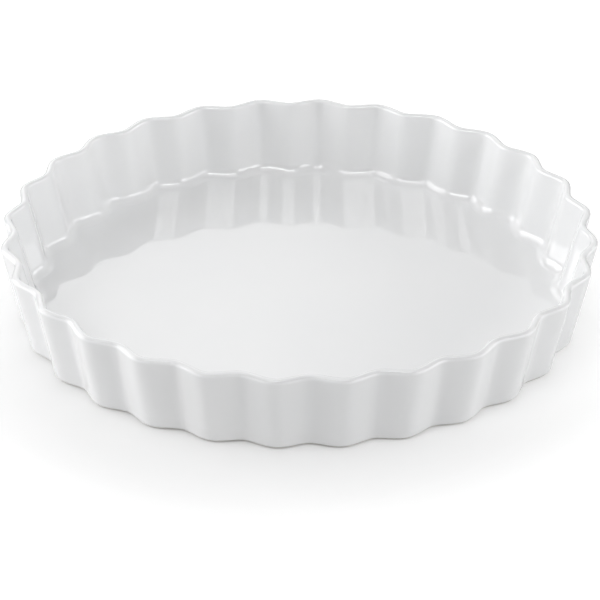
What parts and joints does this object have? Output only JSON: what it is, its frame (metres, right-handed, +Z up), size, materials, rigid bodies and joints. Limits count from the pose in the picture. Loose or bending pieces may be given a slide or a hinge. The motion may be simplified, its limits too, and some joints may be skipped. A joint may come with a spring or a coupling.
{
  "type": "fluted quiche dish",
  "caption": "Shallow round porcelain baking dish with an upright fluted wall that flares to a flat rim, glazed all over except its foot ring.",
  "frame": {"origin": "on the table, under the middle of the dish", "axes": "+Z up along the dish's axis, +X through the crest of a flute"},
  "size_m": [0.2792, 0.2792, 0.04],
  "materials": {
    "bare_porcelain": "unglazed, fine and dry",
    "white_glaze": "smooth clear gloss over white porcelain"
  },
  "bodies": {
    "root": {"porcelain_body": "bare_porcelain", "glaze_coat": "white_glaze", "underside_glaze": "white_glaze"}
  },
  "joints": []
}
